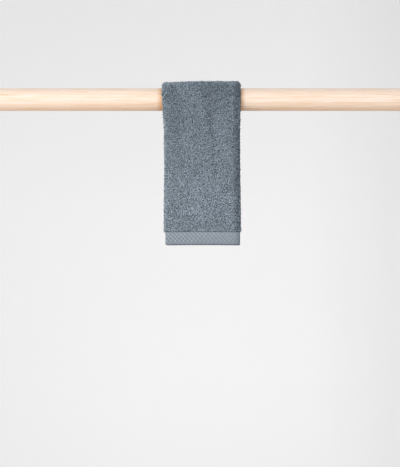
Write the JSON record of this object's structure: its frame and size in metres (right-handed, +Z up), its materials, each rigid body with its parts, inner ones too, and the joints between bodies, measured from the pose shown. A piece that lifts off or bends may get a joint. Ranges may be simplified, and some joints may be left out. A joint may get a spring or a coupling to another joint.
{
  "type": "folded terry towel on a round wooden rod",
  "caption": "Small terry towel folded lengthwise in three and hung over a plain round wooden rod, with a flat woven band at each hem.",
  "frame": {"origin": "centre of the rod's left end face", "axes": "+X along the rod to its right end, +Y from the front drop to the back drop, +Z up"},
  "size_m": [0.75, 0.0671, 0.2922],
  "materials": {
    "terry_cotton": "looped cotton pile, matte blue-grey, with a flat twill band at the hems",
    "pine": "planed and sanded, clear, pale, satin"
  },
  "bodies": {
    "root": {"towel": "terry_cotton", "rod": "pine"}
  },
  "joints": []
}
